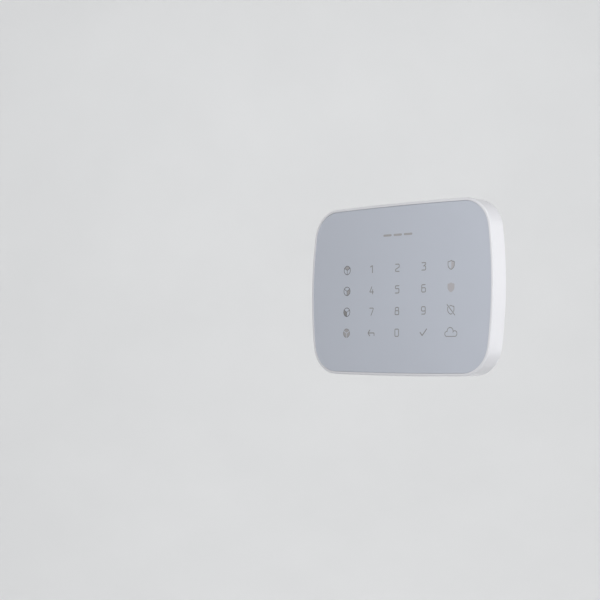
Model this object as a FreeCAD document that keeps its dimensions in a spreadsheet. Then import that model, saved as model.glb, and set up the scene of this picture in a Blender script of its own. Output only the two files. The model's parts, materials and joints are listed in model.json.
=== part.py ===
import FreeCAD, Part
import math
import os
import re
import Sketcher

# Wall-mounted touch keypad for an alarm, in millimetres. The wall is the plane Y = 0, the keypad's face
# looks along -Y, +Z is up, and the origin is on the wall behind the middle of the face. A depth "from the
# wall" counts towards the face, so a depth d lies at Y = -d.

DRIVING_SIZES = {
    # outer form of the face
    "width": 141.0,
    "height": 100.6,
    "corner_radius": 19.0,
    "side_bow": 244.4,
    "top_bow": 2568.0,
    # depths from the wall
    "depth": 11.8,
    "shell_depth": 11.3,
    "cover_back": 2.3,
    "board_back": 7.4,
    # front shell, panel and what lies behind the panel
    "shell_wall": 2.0,
    "front_wall": 1.0,
    "lip_width": 1.55,
    "lip_height": 0.3,
    "lip_round": 0.9,
    "panel_thickness": 1.5,
    "panel_gap": 0.1,
    "tape_thickness": 0.2,
    "window_width": 106.0,
    "window_height": 72.0,
    "window_rise": 1.0,
    "window_corner": 3.0,
    "back_round": 0.3,
    "board_thickness": 1.0,
    "guide_thickness": 1.25,
    "guide_rib": 2.0,
    "film_thickness": 0.2,
    "lamp_long": 2.0,
    "lamp_wide": 1.25,
    "lamp_height": 0.6,
    "lead_reach": 0.9,
    "lead_thickness": 0.25,
    # key field
    "key_across": 20.2,
    "key_down": 12.6,
    "key_middle": -6.4,
    "status_rise": 31.8,
    "status_pitch": 8.0,
    # rear cover
    "cover_gap": 0.15,
    "cover_rim": 1.6,
    "cover_wall": 1.2,
    "cable_rise": 30.0,
    "cable_wide": 26.0,
    "cable_tall": 13.0,
    "cable_corner": 2.0,
    "sound_side": -34.0,
    "sound_drop": -34.0,
    "sound_pitch": 2.6,
    # wall bracket and its hooks
    "bracket_width": 122.0,
    "bracket_top": 44.0,
    "bracket_bottom": 40.0,
    "bracket_thickness": 2.0,
    "bracket_corner": 15.0,
    "bracket_pocket": 0.8,
    "wall_hole_across": 88.0,
    "wall_hole_up": 52.0,
    "wall_hole_radius": 1.9,
    "hook_side": 57.0,
    "hook_width": 5.4,
    "hook_stem": 1.6,
    "hook_lip": 2.8,
    "hook_thickness": 1.2,
    "hook_gap": 0.3,
    "lift_travel": 4.0,
    # plunger, button and screws
    "plunger_drop": -12.0,
    "plunger_radius": 2.5,
    "button_radius": 2.0,
    "button_side": 20.0,
    "switch_height": 2.0,
    "guide_end": 3.6,
    "flange_thickness": 0.6,
    "screw_side": 57.0,
    "screw_rise": 37.0,
    "screw_boss_join": 5.0,
    "screw_seat": 3.7,
    "screw_head": 2.2,
    "screw_shank": 1.1,
    "screw_end": 9.2,
    "boss_radius": 3.0,
    "screw_pilot": 1.15,
    "cover_boss": 3.4,
    "head_well": 2.4,
    "shank_hole": 1.3,
    "boss_notch": 3.5,
    "post_side": 30.0,
    "post_rise": 43.0,
    "post_radius": 2.2,
    "post_pilot": 0.85,
    "board_hole": 1.0,
    "pilot_roof": 0.3,
    "flange_width": 0.9,
}

HOOK_RISES = (14.0, -18.0)
KEY_COLUMNS = (-2, -1, 0, 1, 2)
KEY_ROWS = (1.5, 0.5, -0.5, -1.5)
KEY_PLACES = [
    (f"{column} * key_across", f"key_middle + {row} * key_down") for column in KEY_COLUMNS for row in KEY_ROWS
]
STATUS_SIDES = ("-status_pitch", "0", "status_pitch")
TERMINAL_SIDES = (-7.5, -2.5, 2.5, 7.5)
RUNNING_CLEARANCE = 0.06
X_AXIS = FreeCAD.Vector(1, 0, 0)
Z_AXIS = FreeCAD.Vector(0, 0, 1)
FORWARD = FreeCAD.Rotation(X_AXIS, 90)

doc = FreeCAD.newDocument("keypad")
sheet = doc.addObject("Spreadsheet::Sheet", "Sizes")
for row, (alias, size) in enumerate(DRIVING_SIZES.items(), start=1):
    sheet.set(f"A{row}", alias)
    sheet.set(f"B{row}", str(size))
    sheet.setAlias(f"B{row}", alias)
doc.recompute()

sub_parts = []


# ---- sizes ---------------------------------------------------------------------------------------------


def link(size):
    """A size written with the sheet's names, as an expression that any object can hold."""
    return re.sub(r"[a-z_]{4,}", lambda word: f"Sizes.{word[0]}", size)


def number(size):
    """The present value of a size, given as a number or written with the sheet's names."""
    return float(sheet.evalExpression(link(size))) if isinstance(size, str) else float(size)


def bind(target, name, size):
    """Give a property its value, and keep it tied to the sheet where the size is written with names."""
    if isinstance(size, str):
        target.setExpression(name, link(size))
    else:
        target.setExpression(name, str(float(size)))


def keep(shape_object, label):
    """Name a finished sub-part, so that it is checked and written."""
    shape_object.Label = label
    sub_parts.append(shape_object)
    return shape_object


# ---- sketches ------------------------------------------------------------------------------------------


def datum(sketch, name, size, *constraint):
    """Add a dimension to a sketch and tie it to its size."""
    index = sketch.addConstraint(Sketcher.Constraint(*constraint, number(size)))
    sketch.renameConstraint(index, name)
    if isinstance(size, str):
        sketch.setExpression(f"Constraints.{name}", link(size))


def place_point(sketch, name, geometry, point, x, z):
    """Hold a point of a sketch at X and Z, measured from whichever side keeps the dimension positive."""
    for axis, size in (("X", x), ("Y", z)):
        ends = (-1, 1, geometry, point)
        if number(size) < 0:
            ends = (geometry, point, -1, 1)
            size = f"-({size})" if isinstance(size, str) else -size
        datum(sketch, f"{name}_{axis.lower()}", size, f"Distance{axis}", *ends)


def circle(x, z, radius):
    """A drawing step that adds one circle to a sketch."""

    def draw(sketch):
        middle = FreeCAD.Vector(number(x), number(z), 0)
        index = sketch.addGeometry(Part.Circle(middle, Z_AXIS, number(radius)), False)
        datum(sketch, f"circle{index}_radius", radius, "Radius", index)
        place_point(sketch, f"circle{index}", index, 3, x, z)

    return draw


def rectangle(x, z, wide, tall):
    """A drawing step that adds one upright rectangle, given by its middle and its size."""

    def draw(sketch):
        middle_x, middle_z, half_wide, half_tall = number(x), number(z), number(wide) / 2, number(tall) / 2
        corners = [
            FreeCAD.Vector(middle_x + side * half_wide, middle_z + rise * half_tall, 0)
            for side, rise in ((-1, -1), (1, -1), (1, 1), (-1, 1))
        ]
        lines = [Part.LineSegment(corners[i], corners[(i + 1) % 4]) for i in range(4)]
        first = sketch.addGeometry(lines, False)[0]
        for i in range(4):
            sketch.addConstraint(Sketcher.Constraint("Coincident", first + i, 2, first + (i + 1) % 4, 1))
        for i, direction in enumerate(("Horizontal", "Vertical", "Horizontal", "Vertical")):
            sketch.addConstraint(Sketcher.Constraint(direction, first + i))
        datum(sketch, f"box{first}_wide", wide, "DistanceX", first, 1, first, 2)
        datum(sketch, f"box{first}_tall", tall, "DistanceY", first + 1, 1, first + 1, 2)
        left, low = f"({x}) - ({wide}) / 2", f"({z}) - ({tall}) / 2"
        place_point(sketch, f"box{first}", first, 1, left, low)

    return draw


def arc_chain(sketch, arcs):
    """Add arcs, given as (centre, radius, start, end), that run tangent into one another in a closed loop."""
    geometry = [Part.ArcOfCircle(Part.Circle(centre, Z_AXIS, r), a, b) for centre, r, a, b in arcs]
    first = sketch.addGeometry(geometry, False)[0]
    for i in range(len(arcs)):
        following = first + (i + 1) % len(arcs)
        sketch.addConstraint(Sketcher.Constraint("Tangent", first + i, 2, following, 1))
    return first


def outline(inset):
    """A drawing step for the keypad's outline, drawn a given distance inside the outermost edge.

    Two flat bows at the sides and two at the top and bottom meet in round corners, all tangent.
    """

    def draw(sketch):
        side_radius, top_radius = f"side_bow - ({inset})", f"top_bow - ({inset})"
        corner = f"corner_radius - ({inset})"
        side_offset = "side_bow - width / 2"
        top_offset = "top_bow - height / 2"
        side_r, top_r, corner_r = number(side_radius), number(top_radius), number(corner)
        side_centre = FreeCAD.Vector(-number(side_offset), 0, 0)
        top_centre = FreeCAD.Vector(0, -number(top_offset), 0)
        corner_centre = tangent_centre(side_centre, side_r - corner_r, top_centre, top_r - corner_r)
        side_end = math.atan2(corner_centre.y, corner_centre.x - side_centre.x)
        top_end = math.atan2(corner_centre.y - top_centre.y, corner_centre.x)
        arcs = []
        for quarter, (mirror_x, mirror_y) in enumerate(((1, 1), (-1, 1), (-1, -1), (1, -1))):
            centre = FreeCAD.Vector(mirror_x * corner_centre.x, mirror_y * corner_centre.y, 0)
            half_turn = math.pi * (quarter // 2)
            if quarter % 2 == 0:
                flat_centre = FreeCAD.Vector(mirror_x * side_centre.x, 0, 0)
                arcs.append((flat_centre, side_r, half_turn - side_end, half_turn + side_end))
                arcs.append((centre, corner_r, half_turn + side_end, half_turn + top_end))
            else:
                flat_centre = FreeCAD.Vector(0, mirror_y * top_centre.y, 0)
                arcs.append((flat_centre, top_r, half_turn + top_end, half_turn + math.pi - top_end))
                arcs.append((centre, corner_r, half_turn + math.pi - top_end, half_turn + math.pi - side_end))
        first = arc_chain(sketch, arcs)
        for i, (x, z) in enumerate(((f"-({side_offset})", 0.0), (0.0, f"-({top_offset})"),
                                    (side_offset, 0.0), (0.0, top_offset))):
            datum(sketch, f"flat{i}_radius", top_radius if i % 2 else side_radius, "Radius", first + 2 * i)
            datum(sketch, f"corner{i}_radius", corner, "Radius", first + 2 * i + 1)
            place_point(sketch, f"flat{i}", first + 2 * i, 3, x, z)

    return draw


def tangent_centre(first, first_reach, second, second_reach):
    """The point in the upper right at given distances from two centres."""
    apart = second - first
    along = (first_reach**2 - second_reach**2 + apart.Length**2) / (2 * apart.Length)
    aside = math.sqrt(first_reach**2 - along**2)
    unit = apart / apart.Length
    return first + unit * along + FreeCAD.Vector(-unit.y, unit.x, 0) * aside


def rounded(x, z, wide, tall, radius):
    """A drawing step that adds an upright rectangle with round corners."""

    def draw(sketch):
        middle_x, middle_z, r = number(x), number(z), number(radius)
        half_wide, half_tall = number(wide) / 2 - r, number(tall) / 2 - r
        geometry = []
        for turn, (side, rise) in enumerate(((1, 1), (-1, 1), (-1, -1), (1, -1))):
            centre = FreeCAD.Vector(middle_x + side * half_wide, middle_z + rise * half_tall, 0)
            start = turn * math.pi / 2
            geometry.append(Part.ArcOfCircle(Part.Circle(centre, Z_AXIS, r), start, start + math.pi / 2))
        first = sketch.addGeometry(geometry, False)[0]
        for i in range(4):
            a, b = geometry[i], geometry[(i + 1) % 4]
            line = sketch.addGeometry(Part.LineSegment(a.EndPoint, b.StartPoint), False)
            sketch.addConstraint(Sketcher.Constraint("Tangent", first + i, 2, line, 1))
            sketch.addConstraint(Sketcher.Constraint("Tangent", line, 2, first + (i + 1) % 4, 1))
            sketch.addConstraint(Sketcher.Constraint("Horizontal" if i % 2 == 0 else "Vertical", line))
        for i in range(1, 4):
            sketch.addConstraint(Sketcher.Constraint("Equal", first, first + i))
        datum(sketch, f"round{first}_radius", radius, "Radius", first)
        right, top = f"({x}) + ({wide}) / 2 - ({radius})", f"({z}) + ({tall}) / 2 - ({radius})"
        left, low = f"({x}) - ({wide}) / 2 + ({radius})", f"({z}) - ({tall}) / 2 + ({radius})"
        place_point(sketch, f"round{first}", first, 3, right, top)
        place_point(sketch, f"round{first + 2}", first + 2, 3, left, low)

    return draw


# ---- solids --------------------------------------------------------------------------------------------


def new_body(label):
    return keep(doc.addObject("PartDesign::Body", label), label)


def draw_sketch(body, depth, drawings, plane="XZ_Plane"):
    """A sketch on one of the body's own planes, at a depth from the wall unless another plane is named."""
    sketch = body.newObject("Sketcher::SketchObject", "Outline")
    support = next(item for item in body.Origin.OriginFeatures if item.Role == plane)
    sketch.AttachmentSupport = [(support, "")]
    sketch.MapMode = "FlatFace"
    bind(sketch, "AttachmentOffset.Base.z", depth)
    for drawing in drawings:
        drawing(sketch)
    return sketch


def pad(body, low, high, *drawings):
    """Add material between two depths from the wall."""
    feature = body.newObject("PartDesign::Pad", "Pad")
    feature.Profile = draw_sketch(body, low, drawings)
    bind(feature, "Length", f"({high}) - ({low})")
    body.Tip = feature
    doc.recompute()
    return feature


def pocket(body, low, high, *drawings):
    """Remove material between two depths from the wall, and make sure that some went."""
    before = body.Shape.Volume
    feature = body.newObject("PartDesign::Pocket", "Pocket")
    feature.Profile = draw_sketch(body, high, drawings)
    bind(feature, "Length", f"({high}) - ({low})")
    body.Tip = feature
    doc.recompute()
    if body.Shape.Volume > before - 0.01:
        raise ValueError(f"a pocket of {body.Label} cuts nothing")
    return feature


def edges_at(feature, depth, radius=None):
    """Names of a feature's edges that lie at one depth from the wall, all or only circles of one radius."""
    names = []
    for index, edge in enumerate(feature.Shape.Edges, start=1):
        box = edge.BoundBox
        flat = abs(box.YMin + number(depth)) < 0.001 and abs(box.YMax + number(depth)) < 0.001
        matches = radius is None or (
            edge.Curve.TypeId == "Part::GeomCircle" and abs(edge.Curve.Radius - number(radius)) < 0.001
        )
        if flat and matches:
            names.append(f"Edge{index}")
    return names


def soften(body, kind, depth, size, radius=None):
    """Round or bevel the edges at one depth of the body's present shape."""
    base = body.Tip
    feature = body.newObject(f"PartDesign::{kind}", kind)
    feature.Base = (base, edges_at(base, depth, radius))
    bind(feature, "Radius" if kind == "Fillet" else "Size", size)
    body.Tip = feature
    doc.recompute()
    return feature


def block(x, z, wide, tall, low, high):
    """A box given by its middle, its size and its two depths from the wall."""
    box = doc.addObject("Part::Box", "Block")
    bind(box, "Length", wide)
    bind(box, "Width", f"({high}) - ({low})")
    bind(box, "Height", tall)
    bind(box, "Placement.Base.x", f"({x}) - ({wide}) / 2")
    bind(box, "Placement.Base.y", f"-({high})")
    bind(box, "Placement.Base.z", f"({z}) - ({tall}) / 2")
    return box


def disc(x, z, radius, low, high):
    """A cylinder that stands towards the face between two depths from the wall."""
    cylinder = doc.addObject("Part::Cylinder", "Disc")
    cylinder.Placement = FreeCAD.Placement(FreeCAD.Vector(0, 0, 0), FORWARD)
    bind(cylinder, "Radius", radius)
    bind(cylinder, "Height", f"({high}) - ({low})")
    bind(cylinder, "Placement.Base.x", x)
    bind(cylinder, "Placement.Base.y", f"-({low})")
    bind(cylinder, "Placement.Base.z", z)
    return cylinder


def fused(*shapes):
    union = doc.addObject("Part::MultiFuse", "Union")
    union.Shapes = list(shapes)
    return union


def cut(base, tool):
    difference = doc.addObject("Part::Cut", "Difference")
    difference.Base = base
    difference.Tool = tool
    return difference


def grouped(shapes, label):
    """Identical pieces that share one node, each still a solid of its own."""
    group = doc.addObject("Part::Compound", label)
    group.Links = list(shapes)
    return keep(group, label)


def mirrored_places(side, rise):
    """The four places at a given distance either side of the middle, as pairs of sizes."""
    return [(x, z) for x in (side, f"-({side})") for z in (rise, f"-({rise})")]


def screw(x, z, head_radius, head_low, head_high, shank_radius, shank_end):
    """A flat-headed screw with a cross recess, driven from the wall side."""
    head = disc(x, z, head_radius, head_low, head_high)
    solid = fused(head, disc(x, z, shank_radius, head_high, shank_end))
    slot_long, slot_wide, slot_deep = 1.2 * head_radius, 0.28 * head_radius, 0.55 * (head_high - head_low)
    bottom = head_low + slot_deep
    cross = fused(
        block(x, z, slot_long, slot_wide, head_low - 1, bottom),
        block(x, z, slot_wide, slot_long, head_low - 1, bottom),
    )
    return cut(solid, cross)


# ---- depths from the wall that several pieces share ----------------------------------------------------

SHELL_BACK = "depth - shell_depth"
PANEL_BACK = "depth - lip_height - panel_thickness"
LEDGE_FRONT = "depth - lip_height - panel_thickness - tape_thickness"
LEDGE_BACK = "depth - lip_height - panel_thickness - tape_thickness - front_wall"
COVER_INSIDE = "cover_back + cover_wall"
BOARD_FRONT = "board_back + board_thickness"
GUIDE_BACK = "board_back + board_thickness + 0.1"
SWITCH_BACK = "board_back - switch_height"
FLANGE_END = "guide_end + flange_thickness"

# ---- places that several pieces share --------------------------------------------------------------------

HOUSING_SCREWS = mirrored_places("screw_side", "screw_rise")
BOARD_POSTS = mirrored_places("post_side", "post_rise")


# ---- front -----------------------------------------------------------------------------------------------


def front_housing():
    """White shell: bowed sides, a thin lip round the panel, a window for the light guide, screw bosses."""
    body = new_body("front_housing")
    pad(body, SHELL_BACK, "depth", outline("0"))
    soften(body, "Fillet", "depth", "lip_round")
    soften(body, "Fillet", SHELL_BACK, "back_round")
    pocket(body, LEDGE_FRONT, "depth", outline("lip_width"))
    pocket(body, SHELL_BACK, LEDGE_BACK, outline("shell_wall"))
    window = rounded(0, "window_rise", "window_width", "window_height", "window_corner")
    pocket(body, LEDGE_BACK, LEDGE_FRONT, window)
    bosses = [circle(x, z, "boss_radius") for x, z in HOUSING_SCREWS]
    pad(body, "screw_boss_join + 0.1", LEDGE_BACK, *bosses)
    posts = [circle(x, z, "post_radius") for x, z in BOARD_POSTS]
    pad(body, BOARD_FRONT, LEDGE_BACK, *posts)
    pilots = [circle(x, z, "screw_pilot") for x, z in HOUSING_SCREWS]
    pocket(body, "screw_boss_join", f"{LEDGE_FRONT} - pilot_roof", *pilots)
    post_pilots = [circle(x, z, "post_pilot") for x, z in BOARD_POSTS]
    pocket(body, BOARD_FRONT, f"{LEDGE_FRONT} - pilot_roof", *post_pilots)


def front_panel():
    """Touch face, set just below the lip."""
    body = new_body("front_panel")
    pad(body, PANEL_BACK, "depth - lip_height", outline("lip_width + panel_gap"))
    soften(body, "Fillet", "depth - lip_height", 0.15)


def panel_tape():
    """Double-sided tape between the panel and the shell's front wall."""
    body = new_body("panel_tape")
    opening = rounded(0, "window_rise", "window_width + 1.6", "window_height + 1.6", "window_corner + 0.8")
    pad(body, LEDGE_FRONT, PANEL_BACK, outline("lip_width + 1.2"), opening)


def diffuser_film():
    """Sheet of white film that evens out the light behind the symbols."""
    body = new_body("diffuser_film")
    sheet_outline = rounded(0, "window_rise", "window_width - 1", "window_height - 1", "window_corner - 0.5")
    low = f"{GUIDE_BACK} + guide_thickness"
    pad(body, low, f"{low} + film_thickness", sheet_outline)


def light_guide():
    """White frame with one light cell for each key and one for the status bar."""
    body = new_body("light_guide")
    high = f"{GUIDE_BACK} + guide_thickness"
    frame_outline = rounded(0, "window_rise", "window_width - 1", "window_height - 1", "window_corner - 0.5")
    pad(body, GUIDE_BACK, high, frame_outline)
    cells = [rectangle(x, z, "key_across - guide_rib", "key_down - guide_rib") for x, z in KEY_PLACES]
    status_cell = rectangle(0, "status_rise", "3 * status_pitch + 6", 5)
    pocket(body, GUIDE_BACK, high, *cells, status_cell)


# ---- board and what it carries -----------------------------------------------------------------------------


def circuit_board():
    """The one board, cleared round the housing bosses and screwed to the posts."""
    body = new_body("circuit_board")
    pad(body, "board_back", BOARD_FRONT, outline("shell_wall + 1"))
    notches = [circle(x, z, "boss_notch") for x, z in HOUSING_SCREWS]
    holes = [circle(x, z, "board_hole") for x, z in BOARD_POSTS]
    pocket(body, "board_back", BOARD_FRONT, *notches, *holes)


def lamp(x, z):
    """A surface-mounted lamp: a low base with a raised lens on it."""
    base = block(x, z, "lamp_long", "lamp_wide", BOARD_FRONT, f"{BOARD_FRONT} + 0.4 * lamp_height")
    lens = block(x, z, "0.65 * lamp_long", "lamp_wide", BOARD_FRONT, f"{BOARD_FRONT} + lamp_height")
    return fused(base, lens)


def board_lights():
    """One lamp behind each key and three behind the status bar, on the board's front."""
    grouped([lamp(x, z) for x, z in KEY_PLACES], "key_leds")
    grouped([lamp(x, "status_rise") for x in STATUS_SIDES], "status_leds")


def lead_steps(count, pitch):
    """How far each of a row of evenly spaced leads is from the row's middle."""
    return [pitch * (place - (count - 1) / 2) for place in range(count)]


def chip(x, z, wide, tall, high, leads_across, leads_down, pitch):
    """A moulded package with its leads soldered down along its edges."""
    lead_wide, lead_low = 0.45 * pitch, "board_back - lead_thickness"
    parts = [block(x, z, wide, tall, f"board_back - {high}", "board_back - 0.1")]
    for step in lead_steps(leads_across, pitch):
        parts.append(block(x + step, z, lead_wide, f"{tall} + 2 * lead_reach", lead_low, "board_back"))
    for step in lead_steps(leads_down, pitch):
        parts.append(block(x, z + step, f"{wide} + 2 * lead_reach", lead_wide, lead_low, "board_back"))
    return fused(*parts)


def board_chips():
    """Parts soldered to the back of the board: middle, size, height, then how many leads and their pitch."""
    for label, x, z, wide, tall, high, leads_across, leads_down, pitch in (
        ("microcontroller", -22, 8, 9, 9, 1.0, 10, 10, 0.8),
        ("touch_controller", -40, -4, 7, 7, 0.9, 8, 8, 0.8),
        ("crystal", -22, -1, 3.2, 2.5, 0.8, 0, 1, 1.2),
        ("bus_transceiver", 22, 22, 5, 4, 1.5, 4, 0, 1.27),
        ("voltage_regulator", 34, 22, 6.5, 3.5, 1.6, 3, 0, 2.3),
        ("inductor", 34, 13, 6, 6, 2.8, 0, 1, 4.0),
    ):
        keep(chip(x, z, wide, tall, high, leads_across, leads_down, pitch), label)
    can = disc("sound_side", "sound_drop", 6.0, "board_back - 3.0", "board_back")
    keep(cut(can, disc("sound_side", "sound_drop", 1.0, "board_back - 3.1", "board_back - 2.0")), "sounder")
    grouped([chip(x, 12, 3.5, 2.8, 1.9, 0, 1, 2.2) for x in (17, 24)], "capacitors")


def terminal_block():
    """Four low terminals for the cable that comes out of the wall, each with its clamp screw."""
    housing = block(0, "cable_rise", 21, 8, "board_back - 3.5", "board_back")
    screw_rise, well_floor = "cable_rise + 1.4", "board_back - 1.2"
    openings, screws = [], []
    for x in TERMINAL_SIDES:
        openings.append(disc(x, screw_rise, 1.5, "board_back - 4", well_floor))
        openings.append(block(x, "cable_rise - 3", 2.6, 4, "board_back - 2.6", "board_back - 0.6"))
        head = disc(x, screw_rise, 1.4, "board_back - 2.8", well_floor)
        slot = block(x, screw_rise, 3, 0.5, "board_back - 3", "board_back - 2.2")
        screws.append(cut(head, slot))
    keep(cut(housing, fused(*openings)), "terminal_block")
    grouped(screws, "terminal_screws")


def board_screws():
    """Small screws that hold the board to the shell's posts."""
    low, high, end = number("board_back") - 0.9, number("board_back"), number(BOARD_FRONT) + 1.0
    screws = [screw(x, z, 1.7, low, high, 0.8, end) for x, z in BOARD_POSTS]
    grouped(screws, "board_screws")


# ---- rear cover ------------------------------------------------------------------------------------------


def rear_cover():
    """Tray that closes the shell: a rim that hides the bracket, and a wall with hook windows."""
    body = new_body("rear_cover")
    pad(body, SHELL_BACK, COVER_INSIDE, outline("shell_wall + cover_gap"))
    soften(body, "Fillet", SHELL_BACK, "back_round")
    pocket(body, SHELL_BACK, "cover_back", outline("shell_wall + cover_gap + cover_rim"))
    bosses = [circle(x, z, "cover_boss") for x, z in HOUSING_SCREWS]
    pad(body, "cover_back", "screw_boss_join", *bosses)
    guides = [
        circle(0, "plunger_drop", "plunger_radius + 1.2"),
        circle("button_side", "plunger_drop", "button_radius + 1.2"),
    ]
    pad(body, "cover_back", "guide_end", *guides)
    heads = [circle(x, z, "head_well") for x, z in HOUSING_SCREWS]
    pocket(body, "cover_back", "screw_seat", *heads)
    shanks = [circle(x, z, "shank_hole") for x, z in HOUSING_SCREWS]
    pocket(body, "screw_seat", "screw_boss_join", *shanks)
    sliding = [
        circle(0, "plunger_drop", f"plunger_radius + {RUNNING_CLEARANCE}"),
        circle("button_side", "plunger_drop", f"button_radius + {RUNNING_CLEARANCE}"),
    ]
    pocket(body, "cover_back", "guide_end", *sliding)
    cable_window = rounded(0, "cable_rise", "cable_wide", "cable_tall", "cable_corner")
    pocket(body, "cover_back", COVER_INSIDE, cable_window)
    tall = "lift_travel + hook_stem + 0.6"
    windows = [
        rectangle(f"{side} * hook_side", f"{rise} + 0.1 - ({tall}) / 2", "hook_width + 0.8", tall)
        for side in (-1, 1)
        for rise in HOOK_RISES
    ]
    pocket(body, "cover_back", COVER_INSIDE, *windows)
    sound_sides = [f"sound_side + {step} * sound_pitch" for step in range(-2, 3)]
    sound_holes = [rectangle(x, "sound_drop", 1.2, 8) for x in sound_sides]
    pocket(body, "cover_back", COVER_INSIDE, *sound_holes)


def housing_screws():
    """Screws that draw the rear cover and the front shell together."""
    seat, end = number("screw_seat"), number("screw_end")
    head, shank = number("screw_head"), number("screw_shank")
    screws = [screw(x, z, head, seat - 1.2, seat, shank, end) for x, z in HOUSING_SCREWS]
    grouped(screws, "housing_screws")


# ---- tamper plunger and reset button --------------------------------------------------------------------


def plungers():
    """Flanged tamper pin that rests on the wall through the bracket, and a flanged button in the cover."""
    pin = disc(0, "plunger_drop", "plunger_radius", 0, "guide_end")
    pin_flange = disc(0, "plunger_drop", "plunger_radius + flange_width", "guide_end", FLANGE_END)
    keep(fused(pin, pin_flange), "tamper_plunger")
    cap = disc("button_side", "plunger_drop", "button_radius", "cover_back", "guide_end")
    cap_flange = disc("button_side", "plunger_drop", "button_radius + flange_width", "guide_end", FLANGE_END)
    keep(fused(cap, cap_flange), "reset_button")


def tamper_spring():
    """Coil spring round the tamper switch, between the board and the plunger's flange."""
    body = new_body("tamper_spring")
    wire_radius, coil_radius, turns = 0.13, 3.15, 3
    low, high = number(FLANGE_END) + 0.15, number("board_back") - 0.15
    section = draw_sketch(body, 0.0, [circle(coil_radius, -low, wire_radius)], plane="XY_Plane")
    body.Placement = FreeCAD.Placement(FreeCAD.Vector(0, 0, number("plunger_drop")), FreeCAD.Rotation())
    coil = body.newObject("PartDesign::AdditiveHelix", "Coil")
    coil.Profile = section
    coil.ReferenceAxis = (section, ["V_Axis"])
    coil.Mode = "height-turns-angle"
    coil.Height = high - low
    coil.Turns = turns
    coil.Reversed = True
    body.Tip = coil
    doc.recompute()


def switches():
    """Two switches on the back of the board, each with a short actuator."""
    for x, label in ((0.0, "tamper_switch"), ("button_side", "reset_switch")):
        case = block(x, "plunger_drop", 3.9, 3.9, SWITCH_BACK, "board_back")
        tip = disc(x, "plunger_drop", 0.9, f"{SWITCH_BACK} - 0.25", SWITCH_BACK)
        keep(fused(case, tip), label)


# ---- wall bracket ------------------------------------------------------------------------------------------


def wall_bracket():
    """Plate screwed to the wall: four upward hooks, a cable window and a window for the tamper plunger."""
    body = new_body("wall_bracket")
    middle_rise = "(bracket_top - bracket_bottom) / 2"
    tall = "bracket_top + bracket_bottom"
    pad(body, 0, "bracket_thickness", rounded(0, middle_rise, "bracket_width", tall, "bracket_corner"))
    soften(body, "Fillet", "bracket_thickness", 0.5)
    pockets = [
        rounded(f"{side} * 27.5", rise, 21, high, 2.5)
        for side in (-1, 1)
        for rise, high in ((22.5, 27), (-20.5, 25))
    ]
    pocket(body, 0, "bracket_pocket", *pockets)
    plunger_room = "lift_travel + 2 * plunger_radius + 2"
    windows = [
        rounded(0, "plunger_drop + lift_travel / 2", 8, plunger_room, 2),
        rounded(0, "cable_rise", "cable_wide", "cable_tall", "cable_corner"),
    ]
    pocket(body, 0, "bracket_thickness", *windows)
    hole_places = mirrored_places("wall_hole_across / 2", "wall_hole_up / 2")
    holes = [circle(x, z, "wall_hole_radius") for x, z in hole_places]
    pocket(body, 0, "bracket_thickness", *holes)
    soften(body, "Chamfer", "bracket_thickness", 1.5, "wall_hole_radius")
    hook_front = f"{COVER_INSIDE} + hook_gap + hook_thickness"
    stems, lips = [], []
    for side in (-1, 1):
        for rise in HOOK_RISES:
            x = f"{side} * hook_side"
            stems.append(rectangle(x, f"{rise} - hook_stem / 2", "hook_width", "hook_stem"))
            lip_middle = f"{rise} + (hook_lip - hook_stem) / 2"
            lips.append(rectangle(x, lip_middle, "hook_width", "hook_lip + hook_stem"))
    pad(body, "bracket_thickness", hook_front, *stems)
    pad(body, f"{COVER_INSIDE} + hook_gap", hook_front, *lips)


# ---- build, check and write ------------------------------------------------------------------------------

for make in (front_housing, front_panel, panel_tape, diffuser_film, light_guide, circuit_board, board_lights,
             board_chips, terminal_block, board_screws, rear_cover, housing_screws, plungers, tamper_spring,
             switches, wall_bracket):
    make()
doc.recompute()

for item in doc.Objects:
    if "Invalid" in item.State or "Error" in item.State:
        raise ValueError(f"{item.Name} ({item.Label}) did not build")

os.makedirs("parts", exist_ok=True)
for item in sub_parts:
    shape = item.Shape
    if shape.isNull() or not shape.isValid():
        raise ValueError(f"{item.Label} has no valid shape")
    shape.exportStep(f"parts/{item.Label}.step")
    box = shape.BoundBox
    print(f"{item.Label}: {len(shape.Solids)} solid(s), {shape.Volume:.1f} mm3, "
          f"{box.XLength:.2f} x {box.YLength:.2f} x {box.ZLength:.2f} mm")
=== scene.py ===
"""Looks of a slim wall keypad, built round its CAD frame.

Materials, the printed key signs and status windows, the tamper spring, the studio and the camera.
"""
import json
import math

import bmesh
import bpy
import numpy as np
from mathutils import Matrix, Vector


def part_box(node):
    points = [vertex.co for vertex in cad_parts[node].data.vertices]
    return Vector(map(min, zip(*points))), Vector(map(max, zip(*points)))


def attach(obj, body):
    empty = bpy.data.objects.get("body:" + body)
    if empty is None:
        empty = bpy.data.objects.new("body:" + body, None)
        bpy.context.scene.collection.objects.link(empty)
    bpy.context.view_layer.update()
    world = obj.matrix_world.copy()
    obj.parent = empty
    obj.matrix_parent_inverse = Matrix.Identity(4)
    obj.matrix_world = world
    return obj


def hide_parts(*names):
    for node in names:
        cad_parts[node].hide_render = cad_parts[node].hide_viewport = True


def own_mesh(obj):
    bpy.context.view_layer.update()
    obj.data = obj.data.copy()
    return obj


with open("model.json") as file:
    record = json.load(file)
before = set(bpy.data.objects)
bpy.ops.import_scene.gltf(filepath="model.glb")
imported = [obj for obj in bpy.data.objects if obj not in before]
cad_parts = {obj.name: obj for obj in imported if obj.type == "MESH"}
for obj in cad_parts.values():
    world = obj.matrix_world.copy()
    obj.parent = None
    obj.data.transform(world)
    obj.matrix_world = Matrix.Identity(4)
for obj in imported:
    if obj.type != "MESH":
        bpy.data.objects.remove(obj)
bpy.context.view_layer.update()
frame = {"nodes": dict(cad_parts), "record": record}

MM = 0.001
scene = bpy.context.scene
scene.view_settings.view_transform = "Standard"

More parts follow.
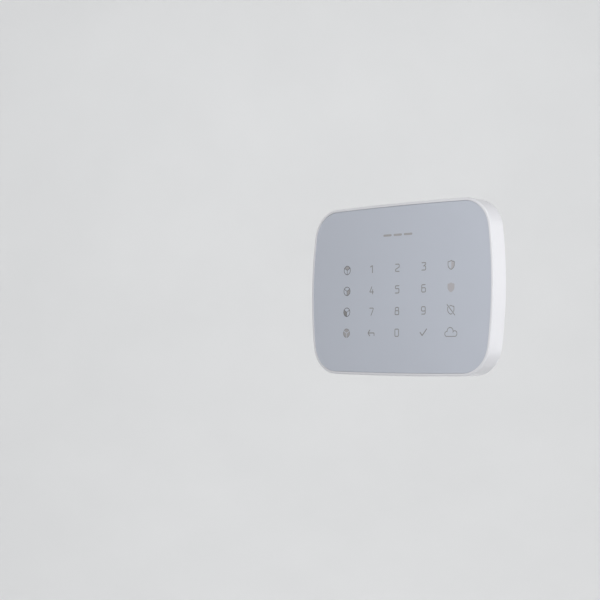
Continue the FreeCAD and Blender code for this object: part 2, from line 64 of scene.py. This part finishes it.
# ---- key field, in millimetres: the same field as the CAD ----------------------------------------

KEY_ACROSS = 20.2
KEY_DOWN = 12.6
TOP_ROW = 12.5
STATUS_RISE = 31.8
STATUS_SIDES = (-8.0, 0.0, 8.0)

# Depths from the wall, also in millimetres.
PANEL_FACE = -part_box("front_panel")[0].y / MM
BOARD_BACK = -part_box("circuit_board")[1].y / MM
LEAD_THICKNESS = 0.25


def smooth(piece):
    for polygon in piece.data.polygons:
        polygon.use_smooth = True
    return piece


def add_piece(name, mesh):
    """Put a finished bmesh into the scene as an object."""
    data = bpy.data.meshes.new(name)
    mesh.to_mesh(data)
    mesh.free()
    piece = bpy.data.objects.new(name, data)
    scene.collection.objects.link(piece)
    return piece


# ---- materials -----------------------------------------------------------------------------------


NOISE_MIDDLE = (0.3, 0.7)  # the range that most of a noise lies in


class Nodes:
    """A material's node tree, with short calls for what the finishes here share."""

    def __init__(self, name):
        self.material = bpy.data.materials.new(name)
        self.material.use_nodes = True
        self.tree = self.material.node_tree
        self.shader = self.tree.nodes["Principled BSDF"]
        self.place = self.tree.nodes.new("ShaderNodeTexCoord").outputs["Object"]

    def add(self, kind, **inputs):
        node = self.tree.nodes.new(kind)
        for name, value in inputs.items():
            self.put(node.inputs[name.replace("_", " ")], value)
        return node

    def put(self, socket, value):
        if isinstance(value, bpy.types.NodeSocket):
            self.tree.links.new(value, socket)
        else:
            socket.default_value = value

    def set(self, **values):
        for name, value in values.items():
            self.put(self.shader.inputs[name.replace("_", " ")], value)

    def noise(self, size_mm, detail=3.0, roughness=0.5, stretch=None):
        """Noise with features of about size_mm, from 0 to 1."""
        place = self.place
        if stretch:
            place = self.add("ShaderNodeMapping", Vector=place, Scale=stretch).outputs["Vector"]
        return self.add("ShaderNodeTexNoise", Vector=place, Scale=1 / (size_mm * MM), Detail=detail,
                        Roughness=roughness).outputs["Fac"]

    def voronoi(self, size_mm):
        return self.add("ShaderNodeTexVoronoi", Vector=self.place, Scale=1 / (size_mm * MM))

    def cells(self, size_mm):
        """Distance to the middle of cells of about size_mm."""
        return self.voronoi(size_mm).outputs["Distance"]

    def span(self, factor, low, high):
        """Map a factor's middle range to low..high."""
        start, end = NOISE_MIDDLE
        node = self.add("ShaderNodeMapRange", Value=factor, From_Min=start, From_Max=end,
                        To_Min=low, To_Max=high)
        return node.outputs["Result"]

    def mottled(self, factor, low, high):
        """Two colours over a factor's middle range."""
        return self.shades(factor, (NOISE_MIDDLE[0], low), (NOISE_MIDDLE[1], high))

    def shades(self, factor, *stops):
        ramp = self.add("ShaderNodeValToRGB", Fac=factor)
        elements = ramp.color_ramp.elements
        while len(elements) < len(stops):
            elements.new(0.5)
        for element, (at, color) in zip(elements, stops):
            element.position, element.color = at, (*color, 1)
        return ramp.outputs["Color"]

    def mix(self, factor, a, b):
        """Colour a where the factor is 0 and colour b where it is 1."""
        node = self.tree.nodes.new("ShaderNodeMix")
        node.data_type = "RGBA"
        for index, value in ((0, factor), (6, a), (7, b)):  # sockets share names, so by number
            if not isinstance(value, (bpy.types.NodeSocket, float, int)):
                value = (*value, 1)
            self.put(node.inputs[index], value)
        return node.outputs[2]

    def math(self, operation, a, b=0.0):
        node = self.tree.nodes.new("ShaderNodeMath")
        node.operation = operation
        self.put(node.inputs[0], a)
        self.put(node.inputs[1], b)
        return node.outputs[0]

    def bump(self, *layers):
        """Layers of height, each a factor and its depth in millimetres, finest last."""
        normal = None
        for height, depth in layers:
            node = self.add("ShaderNodeBump", Height=height, Distance=depth * MM, Strength=1.0)
            if normal is not None:
                self.put(node.inputs["Normal"], normal)
            normal = node.outputs["Normal"]
        self.put(self.shader.inputs["Normal"], normal)


def moulded(name, color, roughness, grain_mm, depth_mm, mottle=0.015, flow_mm=40.0, **sockets):
    """Moulded plastic: faint flow marks, an eroded mould texture and uneven gloss."""
    n = Nodes(name)
    low = [c * (1 - mottle) for c in color]
    high = [min(c * (1 + mottle), 1) for c in color]
    n.set(Base_Color=n.mottled(n.noise(flow_mm, 2), low, high))
    n.set(Roughness=n.span(n.noise(grain_mm * 9, 4), roughness - 0.05, roughness + 0.05))
    n.bump((n.noise(flow_mm * 0.4, 1), depth_mm * 1.5), (n.noise(grain_mm, 5, 0.6), depth_mm),
           (n.cells(grain_mm * 0.7), depth_mm * 0.5))
    n.set(**sockets)
    return n.material


def metal(name, color, roughness, streak=(1, 1, 1), spots=0.12):
    """Plated or drawn metal, with fine scratches and a patchy surface."""
    n = Nodes(name)
    dull = [c * (1 - spots) for c in color]
    n.set(Base_Color=n.mottled(n.noise(0.8, 4), dull, color), Metallic=1.0)
    scratches = n.noise(0.05, 3, 0.6, streak)
    n.set(Roughness=n.span(scratches, roughness - 0.08, roughness + 0.12))
    n.bump((scratches, 0.004), (n.noise(0.3, 2), 0.003))
    return n.material


TIN = (0.66, 0.66, 0.64)
TRACK_STEP, TRACK_LANES = 2.2, 26.0  # tracks: size of a bundle in mm, and how finely it is divided
HOLE_STEP, HOLE_REACH = 3.1, 0.11  # plated holes: spacing in mm, and radius as a share of it
MASK_BARE, MASK_ON_COPPER = (0.012, 0.105, 0.050), (0.030, 0.190, 0.085)
HOLE_PLATING = (0.60, 0.42, 0.16)
PHOSPHOR, EPOXY = (0.78, 0.60, 0.10), (0.86, 0.83, 0.62)


def leaded(name, color):
    """Moulded epoxy on tinned leads, which are the part's lowest layer, next to the board."""
    n = Nodes(name)
    depth = n.add("ShaderNodeSeparateXYZ", Vector=n.place).outputs["Y"]
    tinned = n.math("LESS_THAN", depth, -(BOARD_BACK - LEAD_THICKNESS) * MM)
    dull = [c * 0.85 for c in color]
    epoxy = n.mottled(n.noise(1.5, 3), dull, color)
    n.set(Base_Color=n.mix(tinned, epoxy, TIN), Metallic=tinned)
    n.set(Roughness=n.span(n.noise(0.4, 4), 0.36, 0.60))
    n.bump((n.noise(0.06, 5, 0.6), 0.004), (n.noise(0.9, 2), 0.006))
    return n.material


def board_material():
    """Solder mask over copper: tracks show through as a lighter green, between plated holes."""
    n = Nodes("board")
    bundles = n.voronoi(TRACK_STEP)
    bundles.distance = "MANHATTAN"
    bundles.feature = "F2"
    waves = n.math("SINE", n.math("MULTIPLY", bundles.outputs["Distance"], TRACK_LANES))
    lanes = n.math("GREATER_THAN", waves, 0.1)
    mask = n.mix(lanes, MASK_BARE, MASK_ON_COPPER)
    holes = n.math("LESS_THAN", n.cells(HOLE_STEP), HOLE_REACH)
    n.set(Base_Color=n.mix(holes, mask, HOLE_PLATING), Metallic=holes)
    n.set(Roughness=n.span(n.noise(1.5, 3), 0.26, 0.40), Coat_Weight=0.4, Coat_Roughness=0.15)
    n.bump((lanes, 0.02), (n.noise(0.4, 3), 0.004))
    return n.material


def led_material():
    """Clear epoxy over a yellow phosphor."""
    n = Nodes("led")
    n.set(Base_Color=n.shades(n.cells(0.5), (0.1, PHOSPHOR), (0.7, EPOXY)))
    n.set(Coat_Weight=0.8, Coat_Roughness=0.06)
    n.set(Roughness=n.span(n.noise(0.15, 3), 0.2, 0.4))
    n.bump((n.noise(0.2, 2), 0.01))
    return n.material


def ink_material(name, color):
    """Screen-printed ink: slightly uneven cover and a grainy surface."""
    n = Nodes(name)
    thin = [c * 1.10 for c in color]
    n.set(Base_Color=n.shades(n.noise(0.18, 4, 0.65), (0.35, color), (0.75, thin)))
    n.set(Roughness=n.span(n.noise(0.1, 3), 0.42, 0.62), Specular_IOR_Level=0.35)
    n.bump((n.noise(0.12, 4, 0.6), 0.003))
    return n.material


MATERIALS = {
    "white_plastic": moulded("white_plastic", (0.80, 0.80, 0.83), 0.38, 0.10, 0.0016),
    "panel_plastic": moulded("panel_plastic", (0.580, 0.610, 0.680), 0.42, 0.07, 0.0008,
                             mottle=0.008, flow_mm=60.0, Specular_IOR_Level=0.4),
    "cover_plastic": moulded("cover_plastic", (0.70, 0.71, 0.72), 0.55, 0.22, 0.006),
    "bracket_plastic": moulded("bracket_plastic", (0.74, 0.74, 0.74), 0.52, 0.25, 0.007),
    "button_plastic": moulded("button_plastic", (0.32, 0.33, 0.35), 0.45, 0.15, 0.003),
    "guide_plastic": moulded("guide_plastic", (0.82, 0.82, 0.81), 0.50, 0.15, 0.003),
    "terminal_plastic": moulded("terminal_plastic", (0.035, 0.22, 0.095), 0.40, 0.12, 0.003),
    "chip": moulded("chip", (0.022, 0.022, 0.024), 0.55, 0.06, 0.004, mottle=0.15, flow_mm=1.5),
    "tape": moulded("tape", (0.72, 0.72, 0.69), 0.60, 0.30, 0.010, mottle=0.03, flow_mm=4.0),
    "film": moulded("film", (0.84, 0.84, 0.84), 0.35, 0.20, 0.003, mottle=0.01, flow_mm=10.0,
                    Transmission_Weight=0.2),
    "screw_steel": metal("screw_steel", (0.58, 0.59, 0.60), 0.32),
    "spring_steel": metal("spring_steel", (0.60, 0.59, 0.57), 0.25, streak=(1, 6, 1)),
    "metal_can": metal("metal_can", (0.62, 0.62, 0.61), 0.28, streak=(8, 1, 1)),
    "board": board_material(),
    "led": led_material(),
}
DIGIT_INK = ink_material("digit_ink", (0.285, 0.280, 0.280))
LINE_INK = ink_material("line_ink", (0.190, 0.190, 0.198))
DARK_INK = ink_material("dark_ink", (0.275, 0.270, 0.268))
FILL_INK = ink_material("fill_ink", (0.400, 0.388, 0.396))
WARM_INK = ink_material("warm_ink", (0.485, 0.470, 0.490))

# Electronic parts whose bodies and leads differ, so they don't take their slot's plain finish.
BLACK_CHIP = leaded("black_chip", (0.024, 0.024, 0.026))
OWN_MATERIALS = {
    "microcontroller": BLACK_CHIP, "touch_controller": BLACK_CHIP, "bus_transceiver": BLACK_CHIP,
    "voltage_regulator": BLACK_CHIP, "capacitors": leaded("capacitor_body", (0.55, 0.33, 0.05)),
    "inductor": leaded("ferrite", (0.085, 0.085, 0.090)),
}
slot_of = {item["node"]: item["material_slot"] for item in frame["record"]["subparts"]}
for node, piece in frame["nodes"].items():
    piece.data.materials.clear()
    piece.data.materials.append(OWN_MATERIALS.get(node, MATERIALS[slot_of[node]]))


# ---- flat signs, drawn as distances to their outline ---------------------------------------------
# Each function of x and z, in millimetres from the sign's middle, is below zero inside the ink.


CORNER_STEPS = 8
STROKE = 0.52  # thickness of the keys' usual line
HEAVY_STROKE = 0.56
CELL = 0.05  # grid that the signs' outlines are found on
NOT_FLAT = math.radians(0.8)  # corners sharper than this stay when an outline is simplified


def run(points, radius, closed=False):
    """Points along straight runs whose corners are rounded."""
    corners = [Vector(p) for p in points]
    count, made = len(corners), []
    for i, corner in enumerate(corners):
        if not closed and i in (0, count - 1):
            made.append(tuple(corner))
            continue
        before, after = corners[i - 1], corners[(i + 1) % count]
        to_before, to_after = (before - corner), (after - corner)
        turn = to_before.angle(to_after)
        reach = min(radius / math.tan(turn / 2), to_before.length * 0.5, to_after.length * 0.5)
        a, b = corner + to_before.normalized() * reach, corner + to_after.normalized() * reach
        for step in range(CORNER_STEPS + 1):
            t = step / CORNER_STEPS
            made.append(tuple(a * (1 - t) ** 2 + corner * 2 * t * (1 - t) + b * t**2))
    return [*made, made[0]] if closed else made


def line(points, thick=STROKE):
    """A stroke of even thickness with round ends."""

    def distance(x, z):
        nearest = np.full_like(x, 1e3)
        for (ax, az), (bx, bz) in zip(points, points[1:]):
            dx, dz = bx - ax, bz - az
            length2 = max(dx * dx + dz * dz, 1e-12)
            t = np.clip(((x - ax) * dx + (z - az) * dz) / length2, 0, 1)
            nearest = np.minimum(nearest, np.hypot(x - ax - t * dx, z - az - t * dz))
        return nearest - thick / 2

    return distance


def area(points):
    """The inside of a closed shape given by its points."""
    edge = line([*points, points[0]], 0)

    def distance(x, z):
        inside = np.zeros(x.shape, bool)
        for (ax, az), (bx, bz) in zip(points, [*points[1:], points[0]]):
            if az != bz:
                left_of_side = x < ax + (z - az) * (bx - ax) / (bz - az)
                inside ^= ((az > z) != (bz > z)) & left_of_side
        return np.where(inside, -1, 1) * edge(x, z)

    return distance


def disc(x0, z0, radius):
    return lambda x, z: np.hypot(x - x0, z - z0) - radius


def either(*shapes):
    return lambda x, z: np.minimum.reduce([shape(x, z) for shape in shapes])


def within(*shapes):
    return lambda x, z: np.maximum.reduce([shape(x, z) for shape in shapes])


def without(shape, hole):
    return lambda x, z: np.maximum(shape(x, z), -hole(x, z))


def ring(shape, thick):
    """The line just inside a shape's edge."""
    return lambda x, z: np.abs(shape(x, z) + thick / 2) - thick / 2


def flat_piece(name, shape, half_wide, half_tall, low, high):
    """The inside of a shape as a thin closed solid between two depths from the wall."""
    columns, rows = round(2 * half_wide / CELL), round(2 * half_tall / CELL)
    x, z = np.meshgrid(np.linspace(-half_wide, half_wide, columns + 1),
                       np.linspace(-half_tall, half_tall, rows + 1))
    depth = shape(x, z)
    depth[np.abs(depth) < CELL * 0.01] = CELL * 0.01  # no grid point lies on the outline itself
    mesh = bmesh.new()
    corners = {}

    def corner(key, px, pz):
        if key not in corners:
            corners[key] = mesh.verts.new((px * MM, -high * MM, pz * MM))
        return corners[key]

    # Each cell that the ink touches gives one face, cut off where the outline crosses its sides.
    cell_corners = [depth[:-1, :-1], depth[1:, :-1], depth[:-1, 1:], depth[1:, 1:]]
    around = ((0, 0), (0, 1), (1, 1), (1, 0))
    for row, column in zip(*np.nonzero(np.minimum.reduce(cell_corners) < 0)):
        places = [(row + down, column + across) for down, across in around]
        loop = []
        for a, b in zip(places, [*places[1:], places[0]]):
            if depth[a] < 0:
                loop.append(corner(a, x[a], z[a]))
            if (depth[a] < 0) != (depth[b] < 0):
                t = depth[a] / (depth[a] - depth[b])
                loop.append(corner((min(a, b), max(a, b)),
                                   x[a] + t * (x[b] - x[a]), z[a] + t * (z[b] - z[a])))
        if len(loop) > 2:
            mesh.faces.new(loop)
    mesh.normal_update()
    bmesh.ops.dissolve_limit(mesh, angle_limit=NOT_FLAT, verts=mesh.verts[:], edges=mesh.edges[:])
    sides = bmesh.ops.extrude_face_region(mesh, geom=mesh.faces[:], use_keep_orig=True)
    for vertex in (v for v in sides["geom"] if isinstance(v, bmesh.types.BMVert)):
        vertex.co.y = -low * MM
    bmesh.ops.recalc_face_normals(mesh, faces=mesh.faces[:])
    return add_piece(name, mesh)


INK_LOW = PANEL_FACE - 0.01  # the ink starts just inside the panel and stands just proud of it
INK_HIGH = PANEL_FACE + 0.02


def printed(name, side, rise, shape, ink, half_wide, half_tall):
    """A flat print on the panel, its middle at a side and rise in millimetres."""
    piece = flat_piece(name, shape, half_wide, half_tall, INK_LOW, INK_HIGH)
    piece.data.transform(Matrix.Translation((side * MM, 0, rise * MM)))
    piece.data.materials.append(ink)
    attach(piece, "keypad")


def sign(name, column, row, shape, ink, half_wide=3.6, half_tall=3.6):
    """A printed sign on the key in a column, -2 to 2, and a row, counted down from the top."""
    printed(f"sign_{name}", column * KEY_ACROSS, TOP_ROW - row * KEY_DOWN, shape, ink,
            half_wide, half_tall)


# Digits: half width, half height and corner radius of their strokes' middle lines.
W, H, R = 1.40, 2.10, 0.75
NARROW = W * 0.85  # half width of the parts that are set in
DIGITS = {
    "0": line(run([(-W, -H), (W, -H), (W, H), (-W, H)], R, True)),
    "1": line(run([(-1.1, 1.35), (0.45, H), (0.45, -H)], 0.15), HEAVY_STROKE),
    "2": line(run([(-W, H), (W, H), (W, 0.35), (-W, -0.85), (-W, -H), (W, -H)], R)),
    "3": either(line(run([(-W, H), (W, H), (W, 1.2), (0.1, 0.25)], 0.5)),
                line(run([(-0.2, 0.25), (W, 0.25), (W, -H), (-W, -H)], R))),
    "4": either(line(run([(0.1, H), (-W, -0.7), (-W, -0.95), (W, -0.95)], 0.2)),
                line([(0.75, 0.35), (0.75, -H)])),
    "5": line(run([(W, H), (-W, H), (-W, 0.45), (W, 0.45), (W, -H), (-W, -H)], R * 0.9)),
    "6": either(line(run([(NARROW, H), (-W, H), (-W, -1.0)], R)),
                line(run([(-W, -H), (W, -H), (W, 0.35), (-W, 0.35)], R, True))),
    "7": line(run([(-W, H), (W, H), (W, 1.3), (-0.25, -H)], 0.35)),
    "8": either(
        line(run([(-NARROW, 0.2), (NARROW, 0.2), (NARROW, H), (-NARROW, H)], R * 0.9, True)),
        line(run([(-W, -H), (W, -H), (W, 0.2), (-W, 0.2)], R * 0.9, True))),
    "9": either(line(run([(W, -0.35), (W, H), (-W, H), (-W, -0.35)], R, True)),
                line(run([(W, 1.0), (W, -H), (-NARROW, -H)], R))),
}
for digit, (column, row) in {
    "1": (-1, 0), "2": (0, 0), "3": (1, 0), "4": (-1, 1), "5": (0, 1), "6": (1, 1),
    "7": (-1, 2), "8": (0, 2), "9": (1, 2), "0": (0, 3),
}.items():
    sign(f"digit_{digit}", column, row, DIGITS[digit], DIGIT_INK)

# Back and confirm: a bent arrow and a tick.
SIGN_STROKE = 0.62
arrow_head = line([(-1.2, 1.65), (-2.5, 0), (-1.2, -1.65)], SIGN_STROKE)
arrow_shaft = line(run([(-2.5, 0), (2.35, 0), (2.35, -1.5)], 0.4), HEAVY_STROKE)
tick = line([(-2.3, 0.0), (-0.75, -1.7), (2.5, 1.9)], SIGN_STROKE)
sign("back", -1, 3, either(arrow_head, arrow_shaft), DIGIT_INK, 4.0, 3.0)
sign("confirm", 1, 3, tick, DIGIT_INK, 4.0, 3.0)

# Areas: a circle in three parts, like a cube seen from its corner.
AREA_RADIUS = 2.75
RIM_STROKE, SPOKE_STROKE, SPOKE_GAP = 0.42, 0.36, 0.45


def around_middle(degrees, reach):
    return math.cos(math.radians(degrees)) * reach, math.sin(math.radians(degrees)) * reach


def spokes(thick):
    """Three lines from the middle to the rim."""
    return either(*(line([(0, 0), around_middle(a, AREA_RADIUS)], thick) for a in (150, 30, 270)))


whole = disc(0, 0, AREA_RADIUS)
rim = ring(whole, RIM_STROKE)
border = either(rim, spokes(SPOKE_STROKE))
gaps = spokes(SPOKE_GAP)


def sector(start):
    """A third of the circle, counted from an angle in degrees."""
    fan = [around_middle(start + step * 20, AREA_RADIUS * 1.6) for step in range(7)]
    return within(whole, area([(0, 0), *fan]))


for name, row, start, ink in (
    ("area_1", 0, 30, FILL_INK), ("area_2", 1, 270, FILL_INK), ("area_3", 2, 150, DARK_INK),
):
    sign(f"{name}_line", -2, row, border, LINE_INK)
    sign(f"{name}_fill", -2, row, without(sector(start), border), ink)
sign("all_areas_line", -2, 3, without(rim, gaps), DIGIT_INK)
sign("all_areas_fill", -2, 3, without(without(whole, rim), gaps), FILL_INK)

# Modes: a shield half filled, filled, and struck through, and a cloud.
SHIELD_HALF = [(0, 2.75), (0.9, 2.3), (2.5, 2.0), (2.5, -0.35), (2.05, -1.4), (1.15, -2.25),
               (0, -2.8)]
SHIELD_STROKE, SLASH_STROKE, SLASH_GAP, CLOUD_STROKE = 0.45, 0.50, 1.15, 0.44
shield = area(run([*SHIELD_HALF, *((-x, z) for x, z in SHIELD_HALF[-2:0:-1])], 0.5, True))
right_half = area([(0.1, 3.5), (3.5, 3.5), (3.5, -3.5), (0.1, -3.5)])
shield_line = ring(shield, SHIELD_STROKE)
sign("armed_in_part_line", 2, 0, shield_line, DIGIT_INK)
sign("armed_in_part_fill", 2, 0, within(without(shield, shield_line), right_half), WARM_INK)
sign("armed", 2, 1, shield, WARM_INK)
slash = line([(-2.75, 3.0), (2.9, -3.0)], SLASH_STROKE)
clear = line([(-3.4, 3.7), (3.5, -3.7)], SLASH_GAP)
sign("disarmed", 2, 2, either(without(shield_line, clear), slash), DIGIT_INK)
puffs = either(disc(-2.8, -0.95, 1.6), disc(-0.35, 0.5, 2.4), disc(3.0, -0.75, 1.8),
               area([(-2.8, -2.55), (3.0, -2.55), (3.0, 0), (-2.8, 0)]))
sign("cloud", 2, 3, ring(puffs, CLOUD_STROKE), DIGIT_INK, 5.4)

# Status windows: three short bars over the status lamps.
STATUS_BAR = line([(-2.6, 0), (2.6, 0)], 1.25)
for index, side in enumerate(STATUS_SIDES, start=1):
    printed(f"status_window_{index}", side, STATUS_RISE, STATUS_BAR, FILL_INK, 3.6, 1.0)


# ---- tamper spring -------------------------------------------------------------------------------


STEPS_PER_TURN = 48
WIRE_SIDES = 12


def coil_spring(name, middle, coil_radius, wire_radius, near, far, turns):
    """A compression spring along the depth, whose end turns lie flat. Sizes are in millimetres."""
    steps, sides = turns * STEPS_PER_TURN, WIRE_SIDES
    mesh = bmesh.new()
    rings = []
    for step in range(steps + 1):
        along = step / steps
        angle = along * turns * 2 * math.pi
        climb = min(max((along * turns - 1) / (turns - 2), 0), 1)
        climb = climb * climb * (3 - 2 * climb)
        end_turns = min(along * turns, 1) + max(along * turns - turns + 1, 0)
        depth = near + wire_radius * (1 + end_turns) + climb * (far - near - 4 * wire_radius)
        across, rise = math.cos(angle), math.sin(angle)
        ring_of_wire = []
        for side in range(sides):
            turn = side / sides * 2 * math.pi
            reach = coil_radius + wire_radius * math.cos(turn)
            place = Vector((middle[0] + reach * across, -(depth + wire_radius * math.sin(turn)),
                            middle[1] + reach * rise))
            ring_of_wire.append(mesh.verts.new(place * MM))
        rings.append(ring_of_wire)
    for first, second in zip(rings, rings[1:]):
        for side in range(sides):
            after = (side + 1) % sides
            mesh.faces.new((first[side], first[after], second[after], second[side]))
    mesh.faces.new(rings[0])
    mesh.faces.new(rings[-1][::-1])
    bmesh.ops.recalc_face_normals(mesh, faces=mesh.faces[:])
    return smooth(add_piece(name, mesh))


PLUNGER_DROP = -12.0
spring = coil_spring("tamper_coil", (0, PLUNGER_DROP), coil_radius=3.15, wire_radius=0.13,
                     near=4.22, far=7.38, turns=5)
spring.data.materials.append(MATERIALS["spring_steel"])
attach(spring, "keypad")
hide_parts("tamper_spring")
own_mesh(spring)


# ---- studio --------------------------------------------------------------------------------------


# The studio's sizes and places are in metres.
FLOOR_LEVEL = -0.70
FLOOR_RADIUS = 2.6
SWEEP_RADIUS, SWEEP_STEPS = 1.4, 16
RIM_HEIGHT = 3.4
FLOOR_SIDES = 96


def studio_floor():
    """A round pale floor that sweeps up at its rim, well below the keypad."""
    profile = [(FLOOR_RADIUS, FLOOR_LEVEL)]
    for step in range(1, SWEEP_STEPS + 1):
        angle = step / SWEEP_STEPS * math.pi / 2
        profile.append((FLOOR_RADIUS + SWEEP_RADIUS * math.sin(angle),
                        FLOOR_LEVEL + SWEEP_RADIUS * (1 - math.cos(angle))))
    profile.append((FLOOR_RADIUS + SWEEP_RADIUS, FLOOR_LEVEL + RIM_HEIGHT))
    angles = [2 * math.pi * side / FLOOR_SIDES for side in range(FLOOR_SIDES)]
    mesh = bmesh.new()
    centre = mesh.verts.new((0, 0, FLOOR_LEVEL))
    rings = [[mesh.verts.new((r * math.cos(a), r * math.sin(a), z)) for a in angles]
             for r, z in profile]
    for i in range(FLOOR_SIDES):
        j = (i + 1) % FLOOR_SIDES
        mesh.faces.new((centre, rings[0][i], rings[0][j]))
        for inner, outer in zip(rings, rings[1:]):
            mesh.faces.new((inner[i], outer[i], outer[j], inner[j]))
    floor = smooth(add_piece("studio_floor", mesh))
    n = Nodes("floor_paint")
    n.set(Base_Color=n.mottled(n.noise(300, 3), (0.70, 0.705, 0.71), (0.72, 0.725, 0.73)))
    n.set(Roughness=n.span(n.noise(60, 3), 0.75, 0.85), Specular_IOR_Level=0.2)
    floor.data.materials.append(n.material)


def softbox(name, place, size, power, target=(0, 0, 0)):
    """A square soft light aimed at a point, its power in watts."""
    data = bpy.data.lights.new(name, "AREA")
    data.shape, data.size, data.energy = "SQUARE", size, power
    lamp = bpy.data.objects.new(name, data)
    lamp.location = place
    lamp.rotation_euler = (Vector(target) - Vector(place)).to_track_quat("-Z", "Y").to_euler()
    lamp.visible_camera = False
    scene.collection.objects.link(lamp)


studio_floor()
world = bpy.data.worlds.new("studio_air")
scene.world = world
world.use_nodes = True
air = world.node_tree.nodes["Background"].inputs
air["Color"].default_value = (1, 1, 1, 1)
air["Strength"].default_value = 0.37
softbox("key", (0.38, -0.42, 0.08), size=0.3, power=1.2)
softbox("overhead", (0.38, -0.33, 0.55), size=0.4, power=0.85)
softbox("edge_right", (0.62, 0.62, 0.0), size=0.8, power=3.25)
softbox("edge_left", (-0.62, 0.62, 0.0), size=0.8, power=2.0)
softbox("backdrop_behind", (-0.6, 0.7, 1.2), size=1.6, power=56.0, target=(-3, 3.2, -0.2))
softbox("backdrop_before", (0.6, -0.7, 1.2), size=1.6, power=36.0, target=(3, -3.2, -0.2))

# ---- camera --------------------------------------------------------------------------------------

CAMERA_PLACE = (0.54153, -0.61602, -0.04520)
YAW, PITCH, ROLL = 45.838, 2.696, 0.812  # in degrees: turned left, tilted up and leaning left

camera = bpy.data.objects.new("camera", bpy.data.cameras.new("camera"))
scene.collection.objects.link(camera)
scene.camera = camera
camera.data.lens = 83.687
camera.data.sensor_width = 36.0
camera.data.clip_start = 0.01
yaw, pitch, roll = (math.radians(a) for a in (YAW, PITCH, ROLL))
forward = Vector((-math.sin(yaw) * math.cos(pitch), math.cos(yaw) * math.cos(pitch),
                  math.sin(pitch)))
level = Vector((math.cos(yaw), math.sin(yaw), 0))
upright = level.cross(forward)
right = level * math.cos(roll) + upright * math.sin(roll)
up = upright * math.cos(roll) - level * math.sin(roll)
turn = Matrix((right, up, -forward)).transposed()
camera.matrix_world = Matrix.Translation(CAMERA_PLACE) @ turn.to_4x4()
